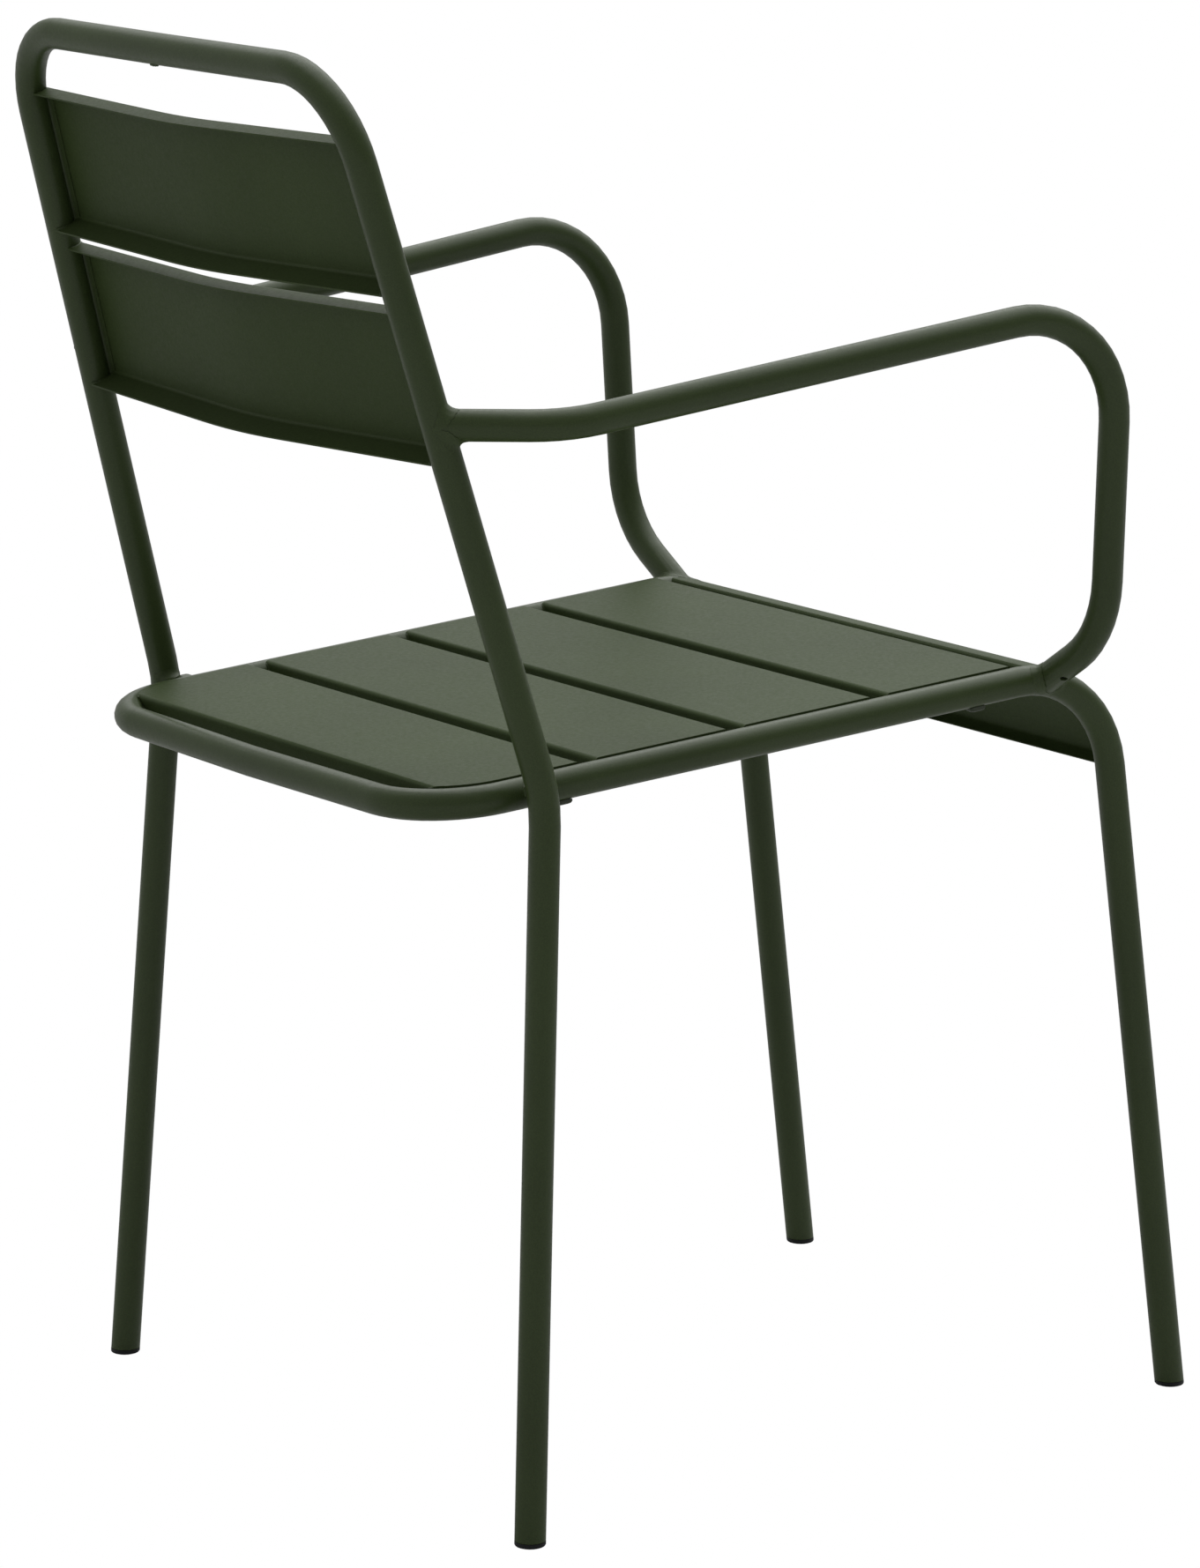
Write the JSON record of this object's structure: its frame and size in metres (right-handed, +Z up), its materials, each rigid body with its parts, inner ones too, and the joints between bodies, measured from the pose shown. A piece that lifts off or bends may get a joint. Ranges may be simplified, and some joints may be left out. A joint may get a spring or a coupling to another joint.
{
  "type": "stacking chair",
  "caption": "Stackable armchair of bent round steel tube, with a slatted sheet steel seat and a slatted curved back.",
  "frame": {"origin": "centre of the footprint, on the floor", "axes": "+Z up, -Y the way the sitter faces, +X the sitter's left"},
  "size_m": [0.5278, 0.6044, 0.8372],
  "materials": {
    "frame_paint": "satin olive green powder coat on steel tube",
    "slat_paint": "satin olive green powder coat on sheet steel",
    "foot_plastic": "black moulded plastic",
    "pad_plastic": "dark moulded plastic"
  },
  "bodies": {
    "root": {"arm_tube_left": "frame_paint", "arm_tube_right": "frame_paint", "back_frame_tube": "frame_paint", "back_slat_lower": "slat_paint", "back_slat_upper": "slat_paint", "foot_cap_front_left": "foot_plastic", "foot_cap_front_right": "foot_plastic", "foot_cap_rear_left": "foot_plastic", "foot_cap_rear_right": "foot_plastic", "front_apron": "slat_paint", "leg_spacer_left": "frame_paint", "leg_spacer_right": "frame_paint", "seat_frame_tube": "frame_paint", "seat_slat_front": "slat_paint", "seat_slat_rear": "slat_paint", "seat_slat_second": "slat_paint", "seat_slat_third": "slat_paint", "stack_pad_front_left": "pad_plastic", "stack_pad_front_right": "pad_plastic", "stack_pad_rear_left": "pad_plastic", "stack_pad_rear_right": "pad_plastic"}
  },
  "joints": []
}
